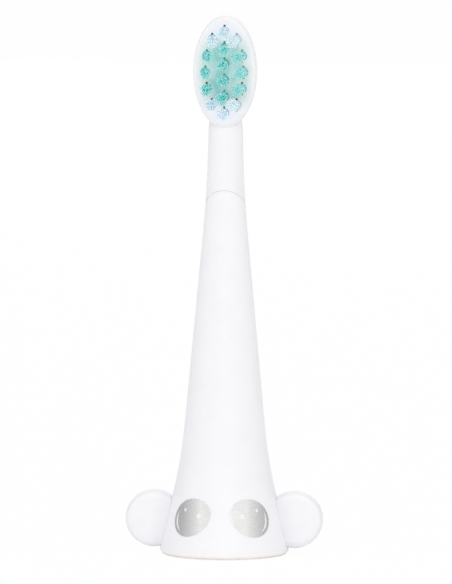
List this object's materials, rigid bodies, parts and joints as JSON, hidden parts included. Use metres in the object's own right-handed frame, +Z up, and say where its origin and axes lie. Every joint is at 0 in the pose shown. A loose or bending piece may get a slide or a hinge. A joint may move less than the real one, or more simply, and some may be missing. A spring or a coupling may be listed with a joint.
{
  "type": "electric toothbrush head",
  "caption": "Electric toothbrush head: an oval tufted plate on a slim neck above a flared base with round ears and silver eye prints, open underneath for the handle's drive shaft.",
  "frame": {"origin": "centre of the flat face that it stands on, on the brush's axis", "axes": "+Z up along the brush, -Y the way the bristles point, +X to the right facing the bristles"},
  "size_m": [0.0286, 0.0193, 0.078],
  "materials": {
    "stem_white": "satin white",
    "cover_white": "satin white",
    "ring_peach": "matt peach",
    "socket_plastic": "natural acetal",
    "clip_steel": "sprung stainless",
    "anchor_metal": "drawn wire",
    "eye_silver": "silver print",
    "bristle_green": "translucent filament",
    "bristle_blue": "translucent filament"
  },
  "bodies": {
    "root": {"brush_stem": "stem_white", "outer_cover": "cover_white", "base_ring": "ring_peach", "drive_socket": "socket_plastic", "shaft_clip": "clip_steel", "tuft_anchors": "anchor_metal", "eye_print_left": "eye_silver", "eye_print_right": "eye_silver", "tuft_centre_1": "bristle_blue", "tuft_centre_2": "bristle_green", "tuft_centre_3": "bristle_green", "tuft_centre_4": "bristle_green", "tuft_centre_5": "bristle_green", "tuft_centre_6": "bristle_blue", "tuft_left_1": "bristle_blue", "tuft_left_2": "bristle_green", "tuft_left_3": "bristle_green", "tuft_left_4": "bristle_green", "tuft_left_5": "bristle_blue", "tuft_right_1": "bristle_blue", "tuft_right_2": "bristle_green", "tuft_right_3": "bristle_green", "tuft_right_4": "bristle_green", "tuft_right_5": "bristle_blue"}
  },
  "joints": []
}
